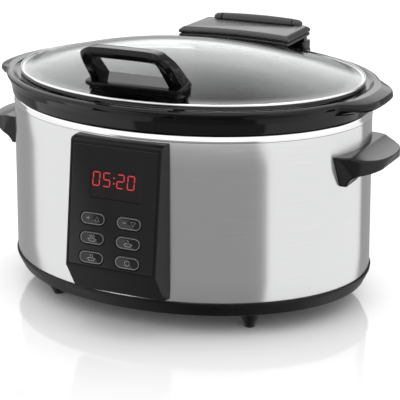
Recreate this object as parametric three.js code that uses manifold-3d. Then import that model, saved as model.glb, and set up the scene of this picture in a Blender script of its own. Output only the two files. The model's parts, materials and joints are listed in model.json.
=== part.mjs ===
// Oval slow cooker with a hinged glass lid, in millimetres.
// +Z is up, +X runs along the oval's long axis, -Y is the side with the control panel.
// The origin is on the surface that the feet stand on, at the centre of the oval.
import * as THREE from 'three';
import { mergeVertices } from 'three/addons/utils/BufferGeometryUtils.js';
import Module from 'manifold-3d';

const wasm = await Module();
wasm.setup();

// ---------------------------------------------------------------- driving dimensions

const gap = 0.3;                    // clearance between pieces that touch
const halfLength = 170;             // steel wall, half of the long axis at its bottom edge
const halfDepth = 135.8;            // steel wall, half of the short axis there
const ovalDifference = halfLength - halfDepth;
const ovalBlendRadius = 140;        // inside this radius the oval narrows towards the centre

const footHeight = 17.5;            // underside of the base tray
const wallBottom = 30;              // bottom edge of the steel wall
const wallTop = 173;                // top edge of the brushed wall
const shoulderTop = 182.2;          // top of the polished shoulder
const ledgeTop = 198.9;             // ledge in the crock that carries the lid
const sheet = 1.2;                  // thickness of sheet metal pieces
const ovalFacets = 48;              // flats round every oval, so that nested ovals stay parallel
const wallTaper = 1.2;              // how much narrower the wall is at its top

const wellFloor = 40;               // inside bottom of the heating well
const crockFloor = 50.5;            // inside bottom of the crock

const glassEdge = 157.5;            // where the dome of the lid starts
const glassThickness = 4;
const glassRimTop = 204.2;          // flat outer band of the glass
const domeRise = 25.3;

const panelHalfWidth = 43.3;
const panelFoot = [-158.7, 60.6];   // lower edge of the tilted panel face, as [y, z]
const panelHead = [-144.9, 169.5];  // upper edge of the tilted panel face, as [y, z]
const keyColumns = [-18.6, 16.0];
const keyRows = [-11, -28, -45];
const keySize = [24.4, 11.6];
const keyDepth = 3.0;
const windowCentre = [1.6, 19.6];
const windowSize = [48.4, 24.6];

const axleY = 151.2;                // lid hinge axis, which runs along X
const axleZ = 221;
const pinRadius = 2.2;
const barrelRadius = 6.3;           // the barrel is crowned: this is its middle
const barrelEnd = 5.3;              // and this its ends
const barrelHalf = 37.2;
const lugOuter = 46;                // outer end of the lid's hinge lugs
const notchFront = 144.2;           // front of the notch in the hinge cover round the barrel
const coverTop = 221.5;
const coverBottom = 207.3;
const flangeTop = 206.7;            // top of the hinge block's foot
const towerTop = 199.2;
const towerRear = 158.4;
const socketFloor = 148;
const plugHalf = 19.6;
const plugFront = 146.4;
const plugRear = 154.6;

const footX = 96.6;
const footY = 81.9;

// ---------------------------------------------------------------- materials

function finish(color, roughness, metalness) {
  return new THREE.MeshStandardMaterial({ color, roughness, metalness });
}

const brushedSteel = finish(0xc9cbcd, 0.34, 1);
const polishedSteel = finish(0xe9eaeb, 0.1, 1);
const wellSteel = finish(0xb4b6b8, 0.4, 1);
const screwSteel = finish(0x9c9ea1, 0.35, 1);
const bracketSteel = finish(0xa7abad, 0.45, 1);
const blackPlastic = finish(0x161617, 0.42, 0);
const glossBlack = finish(0x0b0b0c, 0.12, 0);
const greyCover = finish(0x2b2b2d, 0.3, 0);
const stoneware = finish(0x0c0b0b, 0.08, 0);
const clearGlass = new THREE.MeshStandardMaterial({
  color: 0xdfe6e6, roughness: 0.03, metalness: 0, transparent: true, opacity: 0.35,
});
const smokedLens = finish(0x1c0405, 0.08, 0);
const padRubber = finish(0x1a1a1a, 0.85, 0);
const heaterMica = finish(0x8f7f62, 0.7, 0);
const glassWool = finish(0xd9d4c4, 0.95, 0);
const boardGreen = finish(0x1f5a36, 0.5, 0);
const ceramicWhite = finish(0xe6e2d8, 0.5, 0);

// ---------------------------------------------------------------- solids and booleans

// Keeps positions only, joins shared corners, drops collapsed triangles and turns faces outward.
function closed(geometry) {
  const bare = new THREE.BufferGeometry();
  bare.setAttribute('position', geometry.getAttribute('position').clone());
  if (geometry.index) bare.setIndex(geometry.index.clone());
  const merged = mergeVertices(bare, 1e-3);
  const corners = merged.index.array;
  const kept = [];
  for (let i = 0; i < corners.length; i += 3) {
    const [a, b, c] = [corners[i], corners[i + 1], corners[i + 2]];
    if (a !== b && b !== c && c !== a) kept.push(a, b, c);
  }
  if (signedVolume(merged, kept) < 0) {
    for (let i = 0; i < kept.length; i += 3) [kept[i], kept[i + 1]] = [kept[i + 1], kept[i]];
  }
  merged.setIndex(kept);
  return merged;
}

function signedVolume(geometry, corners) {
  const position = geometry.getAttribute('position');
  const [a, b, c] = [new THREE.Vector3(), new THREE.Vector3(), new THREE.Vector3()];
  let total = 0;
  for (let i = 0; i < corners.length; i += 3) {
    a.fromBufferAttribute(position, corners[i]);
    b.fromBufferAttribute(position, corners[i + 1]);
    c.fromBufferAttribute(position, corners[i + 2]);
    total += a.dot(b.cross(c));
  }
  return total;
}

function toManifold(geometry) {
  const merged = closed(geometry);
  return new wasm.Manifold(new wasm.Mesh({
    numProp: 3,
    vertProperties: new Float32Array(merged.getAttribute('position').array),
    triVerts: new Uint32Array(merged.index.array),
  }));
}

function fromManifold(manifold) {
  const mesh = manifold.getMesh();
  const geometry = new THREE.BufferGeometry();
  geometry.setAttribute('position', new THREE.BufferAttribute(mesh.vertProperties, 3));
  geometry.setIndex(new THREE.BufferAttribute(mesh.triVerts, 1));
  return geometry;
}

function fold(operation, first, others) {
  let result = toManifold(first);
  for (const other of others) result = result[operation](toManifold(other));
  return fromManifold(result);
}

const join = (first, ...others) => fold('add', first, others);
const cut = (first, ...others) => fold('subtract', first, others);
const common = (first, ...others) => fold('intersect', first, others);

// ---------------------------------------------------------------- basic shapes

function ovalHalfDepth(radius) {
  const reach = Math.min(1, radius / ovalBlendRadius);
  return radius - ovalDifference * Math.sin(reach * Math.PI / 2);
}

// Turns a [radius, z] profile round Z and squeezes it to the oval; radius is the long half axis.
function turnOval(profile, segments = ovalFacets) {
  const points = profile.map(([radius, z]) => new THREE.Vector2(radius, z));
  const geometry = new THREE.LatheGeometry(points, segments);
  const position = geometry.getAttribute('position');
  for (let i = 0; i < position.count; i++) {
    const [x, z, depth] = [position.getX(i), position.getY(i), position.getZ(i)];
    const radius = Math.hypot(x, depth);
    const squeeze = radius > 0 ? ovalHalfDepth(radius) / radius : 0;
    position.setXYZ(i, x, -depth * squeeze, z);
  }
  return geometry;
}

const ring = (points) => turnOval([...points, points[0]]);

// Turns a [radius, z] profile round Z without squeezing it.
function turnRound(profile, segments = 12) {
  const points = profile.map(([radius, z]) => new THREE.Vector2(radius, z));
  return new THREE.LatheGeometry(points, segments).rotateX(Math.PI / 2);
}

function block([x0, x1], [y0, y1], [z0, z1]) {
  const box = new THREE.BoxGeometry(x1 - x0, y1 - y0, z1 - z0);
  return box.translate((x0 + x1) / 2, (y0 + y1) / 2, (z0 + z1) / 2);
}

function outline(points) {
  return new THREE.Shape(points.map(([u, v]) => new THREE.Vector2(u, v)));
}

function extrude(shape, depth, options = {}) {
  return new THREE.ExtrudeGeometry(shape, { depth, bevelEnabled: false, curveSegments: 4, ...options });
}

// Extrudes a [y, z] outline along X.
function alongX(shape, x0, x1, options) {
  const turned = new THREE.Matrix4().makeBasis(
    new THREE.Vector3(0, 1, 0), new THREE.Vector3(0, 0, 1), new THREE.Vector3(1, 0, 0));
  return extrude(shape, x1 - x0, options).applyMatrix4(turned).translate(x0, 0, 0);
}

// Extrudes an [x, z] outline along Y.
function alongY(shape, y0, y1, options) {
  return extrude(shape, y1 - y0, options).rotateX(Math.PI / 2).translate(0, y1, 0);
}

// Extrudes an [x, y] outline along Z.
function alongZ(shape, z0, z1, options) {
  return extrude(shape, z1 - z0, options).translate(0, 0, z0);
}

function roundedRectangle(width, height, radius) {
  const [w, h] = [width / 2, height / 2];
  const shape = new THREE.Shape();
  shape.moveTo(radius - w, -h);
  shape.lineTo(w - radius, -h);
  shape.absarc(w - radius, radius - h, radius, -Math.PI / 2, 0);
  shape.lineTo(w, h - radius);
  shape.absarc(w - radius, h - radius, radius, 0, Math.PI / 2);
  shape.lineTo(radius - w, h);
  shape.absarc(radius - w, h - radius, radius, Math.PI / 2, Math.PI);
  shape.lineTo(-w, radius - h);
  shape.absarc(radius - w, radius - h, radius, Math.PI, Math.PI * 1.5);
  return shape;
}

function cylinderX(radius, x0, x1, y, z, segments = 24) {
  const tube = new THREE.CylinderGeometry(radius, radius, x1 - x0, segments);
  return tube.rotateZ(Math.PI / 2).translate((x0 + x1) / 2, y, z);
}

function cylinderY(radius, y0, y1, x, z, segments = 16) {
  const tube = new THREE.CylinderGeometry(radius, radius, y1 - y0, segments);
  return tube.translate(x, (y0 + y1) / 2, z);
}

function cylinderZ(radius, z0, z1, x, y, segments = 16) {
  const tube = new THREE.CylinderGeometry(radius, radius, z1 - z0, segments);
  return tube.rotateX(Math.PI / 2).translate(x, y, (z0 + z1) / 2);
}

// A pan-head screw on the Z axis: its head ends at z = 0 and its shank points up.
function screw(headRadius, headHeight, shankRadius, shankLength) {
  return turnRound([
    [0, -headHeight], [headRadius * 0.7, -headHeight], [headRadius, -headHeight * 0.6],
    [headRadius, 0], [shankRadius, 0], [shankRadius, shankLength - shankRadius],
    [0, shankLength],
  ], 8);
}

// ---------------------------------------------------------------- the assembly

const cooker = new THREE.Group();

function piece(name, geometry, material, parent = cooker) {
  const mesh = new THREE.Mesh(closed(geometry), material);
  mesh.name = name;
  parent.add(mesh);
  return mesh;
}

const wallRadius = (z) => halfLength - wallTaper * (z - wallBottom) / (wallTop - wallBottom);

// A solid of the steel wall's outside, grown by a clearance, for cutting what is fixed to it.
function wallSolid(clearance, z0 = 0, z1 = 260) {
  return turnOval([[0, z0], [wallRadius(z0) + clearance, z0], [wallRadius(z1) + clearance, z1], [0, z1]]);
}

// ---------------------------------------------------------------- base

const lipRadius = 171.2;             // the tray's lip, which stands proud of the wall

const feet = [
  ['front_left', -1, -1], ['front_right', 1, -1], ['rear_left', -1, 1], ['rear_right', 1, 1],
];

function baseTray() {
  const pan = turnOval([
    [0, footHeight], [165.4, footHeight], [170.8, 28.6], [lipRadius, 31], [lipRadius - 0.8, 31],
    [halfLength + gap, wallBottom - gap], [168.3, wallBottom - gap],
    [168.3, 38], [165.8, 38], [165.8, 28], [163.2, 20.3], [0, 20.3],
  ]);
  const cuts = feet.map(([, sideX, sideY]) => cylinderZ(2.3, 10, 30, sideX * footX, sideY * footY, 12));
  for (let row = -2; row <= 2; row++) {
    for (const side of [-1, 1]) {
      const middle = side * 58;
      cuts.push(block([middle - 18, middle + 18], [row * 11 - 2, row * 11 + 2], [10, 25]));
    }
  }
  const posts = [[-26, 30], [36, 30], [-26, 70], [36, 70]];
  const boardPosts = posts.map(([x, y]) => cylinderZ(3, 19, 23.7, x, y, 8));
  return join(cut(pan, ...cuts), ...boardPosts);
}

piece('base_tray', baseTray(), blackPlastic);

function foot() {
  const outlinePoints = [
    [2.3, footHeight - gap], [12.4, footHeight - gap], [12.4, 14.4], [5.9, 3.2], [5.4, 1.8],
    [4.9, 1.8], [4.9, 8], [2.3, 8],
  ];
  return turnRound([...outlinePoints, outlinePoints[0]], 16);
}

for (const [corner, sideX, sideY] of feet) {
  const [x, y] = [sideX * footX, sideY * footY];
  piece(`foot_${corner}`, foot(), blackPlastic).position.set(x, y, 0);
  const pad = turnRound([[0, 0], [4, 0], [4.6, 0.6], [4.6, 5], [0, 5]], 12);
  piece(`foot_pad_${corner}`, pad, padRubber).position.set(x, y, 0);
  piece(`foot_screw_${corner}`, screw(4, 2.2, 1.9, 18), screwSteel).position.set(x, y, 7.7);
}

// ---------------------------------------------------------------- steel body and heating well

const handleScrewY = 24;
const handleScrewZ = 141;
const towerScrewX = 32;
const towerScrewZ = 135;
const glandZ = 46;

function outerShell() {
  const skin = ring([
    [wallRadius(wallBottom), wallBottom], [wallRadius(wallTop), wallTop],
    [wallRadius(wallTop) - sheet, wallTop], [wallRadius(wallBottom) - sheet, wallBottom],
  ]);
  const holes = [
    cylinderX(2.4, -180, -150, -handleScrewY, handleScrewZ, 12),
    cylinderX(2.4, -180, -150, handleScrewY, handleScrewZ, 12),
    cylinderX(2.4, 150, 180, -handleScrewY, handleScrewZ, 12),
    cylinderX(2.4, 150, 180, handleScrewY, handleScrewZ, 12),
    cylinderY(2.4, 120, 145, -towerScrewX, towerScrewZ, 12),
    cylinderY(2.4, 120, 145, towerScrewX, towerScrewZ, 12),
    cylinderY(7, 120, 145, 0, glandZ, 16),
    cylinderY(8, -145, -120, 0, 80, 16),
  ];
  return cut(skin, ...holes);
}

piece('outer_shell', outerShell(), brushedSteel);

piece('shoulder_ring', ring([
  [169.2, wallTop + gap], [168.9, 175], [167.8, 178.4], [165.5, 180.9], [162.6, shoulderTop],
  [162.6, shoulderTop - sheet], [164.6, 180.2], [166.2, 179], [167.4, 177.4], [167.9, 176],
  [168, wallTop + gap],
]), polishedSteel);

piece('heating_well', turnOval([
  [0, wellFloor - sheet], [147, wellFloor - sheet], [151.2, 43], [161.4, 172], [161.4, 175.8],
  [167.3, 175.8], [167.3, 177], [160.2, 177], [160.2, 172], [150, 44.2], [146.4, wellFloor],
  [0, wellFloor],
]), wellSteel);

// The well widens steadily, so its outside at any height follows from its slope.
const wellOutside = (z) => 151.2 + (z - 43) * (161.4 - 151.2) / (172 - 43);

function sleeve(z0, z1, clearance, thickness) {
  const [lower, upper] = [wellOutside(z0) + clearance, wellOutside(z1) + clearance];
  return ring([[lower, z0], [upper, z1], [upper + thickness, z1], [lower + thickness, z0]]);
}

piece('heater_band', sleeve(62, 118, 0.4, 2.4), heaterMica);
piece('heat_insulation', sleeve(60, 122, 3.4, 3.6), glassWool);

function wellBracket() {
  const strap = block([-118, 118], [-12, 12], [36.9, wellFloor - sheet - gap]);
  const legs = [-1, 1].map((side) => {
    const inner = side < 0 ? -118 : 116.4;
    return block([inner, inner + 1.6], [-12, 12], [20.6, 37.5]);
  });
  return cut(join(strap, ...legs), cylinderZ(9.8, 30, 45, 0, 0, 16));
}

piece('well_bracket', wellBracket(), bracketSteel);
piece('temperature_sensor', turnRound([
  [0, 27], [5, 27], [5, 33], [9.3, 33], [9.3, wellFloor - sheet - gap], [0, wellFloor - sheet - gap],
], 16), ceramicWhite);

const fuseAngle = Math.PI / 3;
const fuseRadius = wellOutside(50) + 3.4;
const fuse = piece('thermal_fuse', turnRound([[0, -6], [2, -6], [2.5, -5], [2.5, 5], [2, 6], [0, 6]], 12),
  ceramicWhite);
fuse.position.set(fuseRadius * Math.cos(fuseAngle), ovalHalfDepth(fuseRadius) * Math.sin(fuseAngle), 50);

function powerBoard() {
  return join(
    block([-32, 42], [24, 76], [24, 25.6]),
    block([-26, -4], [32, 50], [25, 34]),
    block([4, 24], [30, 46], [25, 35]),
    cylinderZ(5, 25, 35.5, 32, 62, 14),
    block([-24, 6], [60, 71], [25, 33]),
  );
}

piece('power_board', powerBoard(), boardGreen);

function cordGland() {
  const collar = cylinderY(10, 136.6, 142, 0, glandZ, 20);
  const barrel = cylinderY(6.6, 128, 138, 0, glandZ, 20);
  return cut(join(collar, barrel), cylinderY(3.8, 120, 150, 0, glandZ, 16));
}

piece('cord_gland', cordGland(), blackPlastic);

// ---------------------------------------------------------------- side handles

const handleTip = 197.8;            // outermost point of a side handle
const handleRoot = 150;             // inside the wall, where the handle's outline starts
const handleHalfWidth = 50;

// Outline of a side handle from above: a rounded D that is blunter than an ellipse.
function handlePlan() {
  const points = [];
  for (let step = 0; step <= 28; step++) {
    const y = handleHalfWidth * Math.sin(Math.PI * (step / 28 - 0.5));
    const fall = Math.abs(y / handleHalfWidth) ** 2.4;
    points.push([handleRoot + (handleTip - handleRoot) * Math.sqrt(Math.max(0, 1 - fall)), y]);
  }
  return outline(points);
}

function sideHandle() {
  const side = new THREE.Shape();
  side.moveTo(handleRoot, 125);
  side.lineTo(168, 125);
  side.quadraticCurveTo(170.5, 134.5, 181, 136.4);
  side.quadraticCurveTo(189, 137.3, 194, 139.6);
  side.lineTo(handleTip, 149);
  side.quadraticCurveTo(184, 148.4, 172, 152.6);
  side.lineTo(handleRoot, 152.6);
  const front = outline([[-40, 125], [40, 125], [48.5, 152.6], [-48.5, 152.6]]);
  const body = common(alongZ(handlePlan(), 124, 153), alongY(side, -49, 49), alongX(front, 149, 199));
  const pilots = [-handleScrewY, handleScrewY].map((y) => cylinderX(2.3, 150, 178, y, handleScrewZ, 12));
  return cut(body, wallSolid(gap), ...pilots);
}

for (const [name, turn] of [['right', 0], ['left', Math.PI]]) {
  const side = new THREE.Group();
  side.rotation.z = turn;
  cooker.add(side);
  piece(`side_handle_${name}`, sideHandle(), blackPlastic, side);
  for (const [place, y] of [['front', -handleScrewY], ['rear', handleScrewY]]) {
    const realY = turn ? -y : y;
    const fixing = piece(`handle_screw_${name}_${place}`, screw(3.8, 1.9, 1.9, 11), screwSteel, side);
    fixing.rotation.y = Math.PI / 2;
    fixing.position.set(163.7, realY, handleScrewZ);
  }
}

// ---------------------------------------------------------------- control panel

const panelRise = panelHead[1] - panelFoot[1];
const panelLean = Math.atan((panelHead[0] - panelFoot[0]) / panelRise);
const panelLength = Math.hypot(panelHead[0] - panelFoot[0], panelRise);
const panel = new THREE.Group();       // x to the right, z up the face, -y out of the face
panel.position.set(0, (panelFoot[0] + panelHead[0]) / 2, (panelFoot[1] + panelHead[1]) / 2);
panel.rotation.x = -panelLean;
panel.updateMatrix();
cooker.add(panel);

const inWorld = (geometry) => geometry.applyMatrix4(panel.matrix);
const faceHalfWidth = panelHalfWidth - 2.3;
const faceThickness = 1.8;
const faceFoot = 2.3 - panelLength / 2;
const faceHead = panelLength / 2 - 2.3;
const boardFront = 6.6;

function panelBezel() {
  const profile = outline([
    [-120, 31.5], [-143, 35.5], [-156.6, 57.6], panelFoot, panelHead, [-143.4, 171.3],
    [-138, 172.2], [-120, 172.2],
  ]);
  const hollow = outline([
    [-110, 35], [-142, 39], [-153.5, 59.5], [-155.4, 62.5], [-142.2, 166.6], [-110, 167],
  ]);
  const opening = block([-faceHalfWidth, faceHalfWidth], [-5, faceThickness], [faceFoot, faceHead]);
  const through = block([4 - faceHalfWidth, faceHalfWidth - 4], [-5, 8], [faceFoot + 1.2, faceHead - 4]);
  return cut(
    alongX(profile, -panelHalfWidth, panelHalfWidth),
    wallSolid(gap),
    alongX(hollow, 2.3 - panelHalfWidth, panelHalfWidth - 2.3),
    inWorld(opening),
    inWorld(through),
  );
}

piece('panel_bezel', panelBezel(), blackPlastic);

const keyNames = [['timer_up', 'timer_down'], ['high_heat', 'low_heat'], ['keep_warm', 'power']];
const keyPlaces = keyRows.flatMap((z, row) =>
  keyColumns.map((x, column) => ({ name: keyNames[row][column], x, z })));

function stadium(width, height) {
  return roundedRectangle(width, height, height / 2 - 0.01);
}

// Extrudes an [x, z] outline into the panel, from depth y0 to depth y1 behind the face.
function intoPanel(shape, x, z, y0, y1) {
  return alongY(shape, y0, y1).translate(x, 0, z);
}

function panelFace() {
  const plate = block(
    [gap - faceHalfWidth, faceHalfWidth - gap], [0, faceThickness - gap],
    [faceFoot + gap, faceHead - gap]);
  const holes = keyPlaces.map(({ x, z }) =>
    intoPanel(stadium(keySize[0] + 0.8, keySize[1] + 0.8), x, z, -2, 4));
  holes.push(intoPanel(roundedRectangle(...windowSize, 1.5), ...windowCentre, -2, 4));
  return cut(plate, ...holes);
}

piece('panel_face', panelFace(), glossBlack, panel);
piece('display_window', intoPanel(
  roundedRectangle(windowSize[0] - 0.6, windowSize[1] - 0.6, 1.2), ...windowCentre, 0, 1.6),
smokedLens, panel);
piece('display_module', block([-23, 25], [2.2, boardFront - gap], [9, 30.5]), glossBlack, panel);

for (const { name, x, z } of keyPlaces) {
  piece(`key_${name}`, intoPanel(stadium(...keySize), x, z, 0, keyDepth), glossBlack, panel);
}

function controlBoard() {
  const switches = keyPlaces.map(({ x, z }) =>
    block([x - 3, x + 3], [keyDepth + 1.2, boardFront + 0.5], [z - 3, z + 3]));
  const chip = block([-6, 6], [boardFront + 1, boardFront + 2.8], [-4, 8]);
  const board = block([-37, 37], [boardFront, boardFront + 1.6], [-51.5, 38]);
  return join(board, chip, ...switches);
}

piece('control_board', controlBoard(), boardGreen, panel);

// ---------------------------------------------------------------- crock

function endGrip(side) {
  const plan = new THREE.Shape();
  plan.moveTo(150, -52);
  plan.lineTo(164, -49);
  plan.quadraticCurveTo(172, -45.5, 176, -43);
  plan.bezierCurveTo(180, -40, 183, -35, 185.5, -30);
  plan.quadraticCurveTo(188, -24, 188, -16);
  plan.lineTo(188, 16);
  plan.quadraticCurveTo(188, 24, 185.5, 30);
  plan.bezierCurveTo(183, 35, 180, 40, 176, 43);
  plan.quadraticCurveTo(172, 45.5, 164, 49);
  plan.lineTo(150, 52);
  const droop = outline([[150, 188], [171, 188.6], [185.2, 190.2], [187.6, 191.8], [188, 194], [187, 197.6],
    [183, 199.4], [176.5, 200.9], [150, 201]]);
  const grip = common(alongZ(plan, 187, 202), alongY(droop, -60, 60));
  return side > 0 ? grip : grip.rotateZ(Math.PI);
}

function crock() {
  const outside = turnOval([
    [0, 44], [143, 44], [146.5, 47.5], [158.6, 178], [158.6, 182.6], [168.1, 182.6], [168.7, 181],
    [170, 181], [171.4, 190], [174.2, 196.2], [175.3, 198.6], [174.6, 200.4], [172.2, 201.2], [0, 201.2],
  ]);
  const inside = turnOval([
    [0, crockFloor], [134, crockFloor], [139.5, 54.5], [151, 186], [153.2, 195], [157, ledgeTop],
    [165.6, ledgeTop], [169.2, 201.2], [169.2, 210], [0, 210],
  ]);
  return cut(join(outside, endGrip(1), endGrip(-1)), inside);
}

piece('crock', crock(), stoneware);

// ---------------------------------------------------------------- hinge

function hingeTower() {
  const plan = roundedRectangle(111, 60, 7);
  const body = alongZ(plan, 66, towerTop).translate(0, towerRear - 30, 0);
  const side = outline([[100, 66], [150, 66], [towerRear, 92], [towerRear, towerTop], [100, towerTop]]);
  const trimmed = common(body, alongX(side, -60, 60));
  const rimRoom = block([-70, 70], [90, 142.6], [wallTop - 4, 210]);
  const socket = block([-plugHalf - 0.5, plugHalf + 0.5], [plugFront - 0.4, plugRear + 0.4],
    [socketFloor, 210]);
  const pilots = [-1, 1].map((s) => cylinderY(2.3, 120, 145, s * towerScrewX, towerScrewZ, 12));
  return cut(trimmed, wallSolid(gap, 0, 260), rimRoom, socket, ...pilots);
}

piece('hinge_tower', hingeTower(), greyCover);
for (const [name, side] of [['left', -1], ['right', 1]]) {
  const fixing = piece(`tower_screw_${name}`, screw(3.6, 1.8, 1.9, 12), screwSteel);
  fixing.rotation.x = -Math.PI / 2;
  fixing.position.set(side * towerScrewX, 130, towerScrewZ);
}

function hingeBlock() {
  const barrel = turnRound([
    [0, -barrelHalf], [barrelEnd, -barrelHalf], [barrelRadius - 0.25, -barrelHalf / 2], [barrelRadius, 0],
    [barrelRadius - 0.25, barrelHalf / 2], [barrelEnd, barrelHalf], [0, barrelHalf],
  ], 28).rotateY(Math.PI / 2).translate(0, axleY, axleZ);
  const stem = block([-barrelHalf, barrelHalf], [145.2, 157.6], [204, axleZ]);
  const plan = roundedRectangle(108, 158.2 - 142.9, 4);
  const foot = alongZ(plan, towerTop + gap, flangeTop).translate(0, (158.2 + 142.9) / 2, 0);
  const plug = block([-plugHalf, plugHalf], [plugFront, plugRear], [socketFloor + 4, 203]);
  const bore = cylinderX(pinRadius + 0.08, -60, 60, axleY, axleZ, 24);
  return cut(join(barrel, stem, foot, plug), bore);
}

piece('hinge_block', hingeBlock(), greyCover);
piece('hinge_pin', cylinderX(pinRadius, 0.4 - lugOuter, lugOuter - 0.4, axleY, axleZ, 24), screwSteel);

// ---------------------------------------------------------------- lid

// Height of the glass's outside above the radius of the oval that a point lies on.
const domeHeight = (radius) => glassRimTop + domeRise * (1 - (radius / glassEdge) ** 2);

// Long half axis of the oval that passes through a point.
function radiusThrough(x, y) {
  let [low, high] = [1, 260];
  for (let step = 0; step < 40; step++) {
    const middle = (low + high) / 2;
    const inside = (x / middle) ** 2 + (y / ovalHalfDepth(middle)) ** 2 < 1;
    if (inside) high = middle;
    else low = middle;
  }
  return high;
}

const glassTopAt = (x, y) => domeHeight(Math.min(glassEdge, radiusThrough(x, y)));

// The closed space between two offsets of the dome, out to a radius.
function domeLayer(below, above, reach) {
  const radii = [0, 45, 85, 115, 140, glassEdge].filter((radius) => radius < reach);
  const heights = [...radii, reach].map((radius) => [radius, domeHeight(Math.min(radius, glassEdge))]);
  const lower = heights.map(([radius, z]) => [radius, z + below]);
  const upper = heights.map(([radius, z]) => [radius, z + above]).reverse();
  return turnOval([...lower, ...upper]);
}

const handleY = -101.8;
const handleScrewX = 38.6;
const clampY = 104;
const clampScrewX = 30;

function lidGlass() {
  const holes = [-1, 1].flatMap((side) => [
    cylinderZ(2.6, 190, 230, side * handleScrewX, handleY, 12),
    cylinderZ(2.6, 190, 230, side * clampScrewX, clampY, 12),
  ]);
  return cut(domeLayer(-glassThickness, 0, 160.9), ...holes);
}

piece('lid_glass', lidGlass(), clearGlass);
piece('lid_rim', ring([
  [161.2, 204.7], [161.8, 204.8], [162.6, 203.8], [162.2, 201.4], [161.4, 199.8], [160.8, 199.2],
  [158.6, 199.2], [158.6, 199.8], [160.6, 199.8], [161.2, 200.1],
]), polishedSteel);

function lidHandle() {
  const sideView = new THREE.Shape();
  sideView.moveTo(-113.6, 208);
  sideView.lineTo(-113.6, 216.4);
  sideView.lineTo(-134.6, 241);
  sideView.quadraticCurveTo(-136, 244.6, -132.4, 246.4);
  sideView.lineTo(-125, 247.2);
  sideView.quadraticCurveTo(-121.4, 246.6, -119.6, 243.4);
  sideView.lineTo(-91.4, 218);
  sideView.lineTo(-91.4, 208);
  const frontView = new THREE.Shape();
  frontView.moveTo(-43.8, 205);
  frontView.lineTo(43.8, 205);
  frontView.lineTo(42.4, 234);
  frontView.quadraticCurveTo(41, 248, 30, 248);
  frontView.lineTo(-30, 248);
  frontView.quadraticCurveTo(-41, 248, -42.4, 234);
  const window = new THREE.Shape();
  window.moveTo(-33.2, 217);
  window.lineTo(33.2, 217);
  window.lineTo(31.6, 230);
  window.quadraticCurveTo(30, 238, 24, 238.4);
  window.lineTo(-24, 238.4);
  window.quadraticCurveTo(-30, 238, -31.6, 230);
  const loop = cut(
    common(alongX(sideView, -46, 46), alongY(frontView, -140, -80)),
    alongY(window, -140, -80));
  const tilted = (geometry) => geometry.rotateX(0.18).translate(0, handleY, 202.3);
  const basePlate = join(
    tilted(extrude(roundedRectangle(90.8, 26.4, 4), 3.3).translate(0, 0, 10.8)),
    tilted(extrude(roundedRectangle(85.2, 20.8, 2.5), 12)));
  const screwHoles = [-1, 1].map((side) =>
    cylinderZ(2.2, 195, 224, side * handleScrewX, handleY, 12));
  return cut(join(loop, basePlate), domeLayer(-40, gap, 170), ...screwHoles);
}

piece('lid_handle', lidHandle(), glossBlack);

const lugInner = barrelHalf + 0.5;

// One knuckle of the lid's hinge at x = lugInner, narrowing outwards.
function hingeLug() {
  return join(
    turnRound([
      [0, lugInner], [barrelEnd, lugInner], [barrelEnd - 0.7, lugOuter - 2.5], [3.2, lugOuter], [0, lugOuter],
    ], 24).rotateY(Math.PI / 2).translate(0, axleY, axleZ),
    block([lugInner, lugOuter - 0.8], [146.6, 153.4], [coverBottom + 2, axleZ]));
}

function hingeCover() {
  const plan = new THREE.Shape();
  plan.moveTo(-57.4, 89.7);
  plan.quadraticCurveTo(0, 105.7, 57.4, 89.7);
  plan.lineTo(55.9, 153.7);
  plan.lineTo(lugInner, 153.7);
  plan.lineTo(lugInner, notchFront);
  plan.lineTo(-lugInner, notchFront);
  plan.lineTo(-lugInner, 153.7);
  plan.lineTo(-55.9, 153.7);
  const slab = alongZ(plan, coverBottom - 6, coverTop - 3, {
    curveSegments: 10, bevelEnabled: true, bevelSegments: 1, bevelSize: 3, bevelThickness: 3,
    bevelOffset: -3,
  });
  const lugs = [hingeLug(), hingeLug().scale(-1, 1, 1)];
  const rearTrim = block([-70, 70], [124, 170], [190, coverBottom]);
  const endTrims = [-1, 1].map((side) => block([45.5 * side, 70 * side].sort((a, b) => a - b), [80, 140],
    [190, coverBottom + 4]));
  const bore = cylinderX(pinRadius + 0.1, -60, 60, axleY, axleZ, 24);
  const screwHoles = [-1, 1].map((side) =>
    cylinderZ(2.2, 195, 217, side * clampScrewX, clampY, 12));
  return cut(join(slab, ...lugs), domeLayer(-40, gap, 157.5), rimRoomUnderCover(), rearTrim, bore,
    ...endTrims, ...screwHoles);
}

// Room for the lid's steel rim and the crock's rim below the hinge cover.
function rimRoomUnderCover() {
  return turnOval([[0, 180], [176, 180], [176, coverBottom], [157.4, coverBottom - 1.6], [0, 206]]);
}

piece('hinge_cover', hingeCover(), greyCover);

function hingeClamp() {
  const layer = domeLayer(-glassThickness - gap - 3.2, -glassThickness - gap, 156);
  const bar = alongZ(roundedRectangle(84, 18, 5), 190, 225).translate(0, clampY, 0);
  const holes = [-1, 1].map((side) => cylinderZ(2.2, 180, 230, side * clampScrewX, clampY, 12));
  return cut(common(layer, bar), ...holes);
}

piece('hinge_clamp', hingeClamp(), blackPlastic);

// Undersides of the glass and of the clamp at their lowest point below a screw head.
const underGlass = (x, y) => glassTopAt(x, y) - glassThickness - gap;

for (const [name, side] of [['left', -1], ['right', 1]]) {
  const washerTop = underGlass(side * (handleScrewX + 4.5), handleY - 4.5);
  const washer = turnRound([[2.1, -1], [4.6, -1], [4.6, 0], [2.1, 0], [2.1, -1]], 16);
  piece(`handle_washer_${name}`, washer, screwSteel).position.set(side * handleScrewX, handleY, washerTop);
  piece(`lid_handle_screw_${name}`, screw(3.8, 2, 1.9, 20), screwSteel)
    .position.set(side * handleScrewX, handleY, washerTop - 1 - gap);
  const clampBottom = underGlass(side * (clampScrewX + 3.6), clampY + 3.6) - 3.2 - gap;
  piece(`hinge_screw_${name}`, screw(3.6, 2, 1.9, 14), screwSteel)
    .position.set(side * clampScrewX, clampY, clampBottom);
}

export default cooker;
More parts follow.
